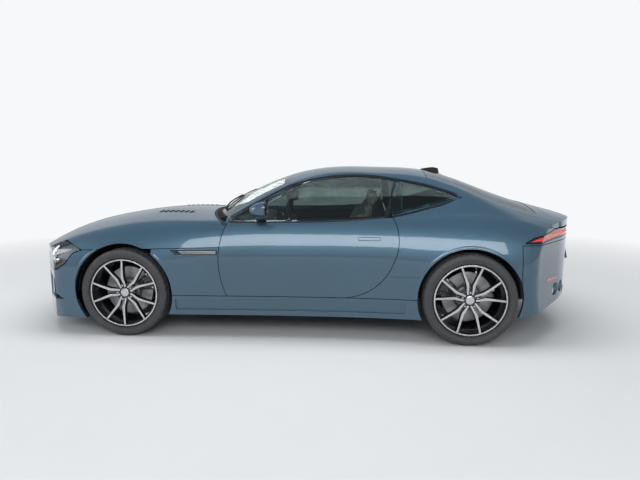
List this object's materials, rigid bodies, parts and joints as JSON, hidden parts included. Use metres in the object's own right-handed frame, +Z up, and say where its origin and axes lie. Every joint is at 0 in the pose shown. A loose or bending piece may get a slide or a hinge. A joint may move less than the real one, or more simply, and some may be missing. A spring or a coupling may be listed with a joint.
{
  "type": "two-seat coupe car",
  "caption": "Low fastback coupe with a clamshell bonnet, doors, tailgate, steered front wheels and a furnished cabin, standing on its wheels.",
  "frame": {"origin": "on the ground at mid-length, on the centre plane", "axes": "+X to the nose, +Y to the car's left, +Z up"},
  "size_m": [4.4678, 2.04, 1.3145],
  "materials": {
    "paint": "metallic clear coat",
    "black_gloss": "gloss",
    "black_trim": "satin",
    "glass": "tinted",
    "lamp_clear": "clear lens",
    "lamp_red": "red lens",
    "wheel_metal": "machined and black",
    "tyre": "matte rubber",
    "exhaust_metal": "polished",
    "iron": "rough",
    "underbody": "matt",
    "leather_dark": "grained",
    "leather_pale": "grained",
    "alloy": "cast"
  },
  "bodies": {
    "body": {"front_bumper": "paint", "grille": "black_trim", "headlamps": "lamp_clear", "front_wings": "paint", "sills": "paint", "roof": "paint", "windscreen": "glass", "quarter_glass": "glass", "scuttle": "black_trim", "quarter_panel_left": "paint", "quarter_panel_right": "paint", "tail_lamps": "lamp_red", "rear_bumper": "paint", "diffuser": "black_trim", "exhausts": "exhaust_metal", "rear_uprights": "iron", "front_subframe": "underbody", "rear_subframe": "underbody", "wheel_housings": "black_trim", "floor_pan": "underbody", "front_structure": "underbody", "load_floor": "underbody", "engine_block": "alloy", "dashboard": "leather_dark", "seat_left": "leather_pale", "seat_right": "leather_pale"},
    "bonnet": {"bonnet": "paint"},
    "door_left": {"door_left": "paint", "door_glass_left": "glass", "mirror_left": "paint"},
    "door_right": {"door_right": "paint", "door_glass_right": "glass", "mirror_right": "paint"},
    "tailgate": {"tailgate": "paint", "tailgate_glass": "glass"},
    "knuckle_left": {"knuckle_left": "iron"},
    "knuckle_right": {"knuckle_right": "iron"},
    "wheel_front_left": {"wheel_front_left": "wheel_metal", "tyre_front_left": "tyre"},
    "wheel_front_right": {"wheel_front_right": "wheel_metal", "tyre_front_right": "tyre"},
    "wheel_rear_left": {"wheel_rear_left": "wheel_metal", "tyre_rear_left": "tyre"},
    "wheel_rear_right": {"wheel_rear_right": "wheel_metal", "tyre_rear_right": "tyre"},
    "steering_wheel": {"steering_wheel": "leather_dark"}
  },
  "joints": [
    {"name": "bonnet_hinge", "type": "hinge", "parent": "body", "child": "bonnet", "pos_m": [2.215, 0, 0.655], "axis": [0, 1, 0], "range_deg": [0, 50]},
    {"name": "door_left_hinge", "type": "hinge", "parent": "body", "child": "door_left", "pos_m": [0.548, 0.91, 0.6], "axis": [0, 0, -1], "range_deg": [0, 62]},
    {"name": "door_right_hinge", "type": "hinge", "parent": "body", "child": "door_right", "pos_m": [0.548, -0.91, 0.6], "axis": [0, 0, 1], "range_deg": [0, 62]},
    {"name": "tailgate_hinge", "type": "hinge", "parent": "body", "child": "tailgate", "pos_m": [-1.001, 0, 1.292], "axis": [0, 1, 0], "range_deg": [0, 70]},
    {"name": "steer_left", "type": "hinge", "parent": "body", "child": "knuckle_left", "pos_m": [1.335, 0.7325, 0.343], "axis": [0, 0, 1], "range_deg": [-32, 32]},
    {"name": "steer_right", "type": "hinge", "parent": "body", "child": "knuckle_right", "pos_m": [1.335, -0.7325, 0.343], "axis": [0, 0, 1], "range_deg": [-32, 32]},
    {"name": "steering_wheel_turn", "type": "hinge", "parent": "body", "child": "steering_wheel", "pos_m": [0.17, -0.385, 0.8], "axis": [-0.9272, 0, 0.3746], "range_deg": [-448, 448]},
    {"name": "spin_front_left", "type": "hinge", "parent": "knuckle_left", "child": "wheel_front_left", "pos_m": [1.335, 0.7925, 0.343], "axis": [0, 1, 0], "continuous": true},
    {"name": "spin_front_right", "type": "hinge", "parent": "knuckle_right", "child": "wheel_front_right", "pos_m": [1.335, -0.7925, 0.343], "axis": [0, 1, 0], "continuous": true},
    {"name": "spin_rear_left", "type": "hinge", "parent": "body", "child": "wheel_rear_left", "pos_m": [-1.287, 0.8135, 0.343], "axis": [0, 1, 0], "continuous": true},
    {"name": "spin_rear_right", "type": "hinge", "parent": "body", "child": "wheel_rear_right", "pos_m": [-1.287, -0.8135, 0.343], "axis": [0, 1, 0], "continuous": true}
  ],
  "couplings": [
    {"joint": "steer_right", "follows": "steer_left", "ratio": 1},
    {"joint": "steering_wheel_turn", "follows": "steer_left", "ratio": 14}
  ]
}
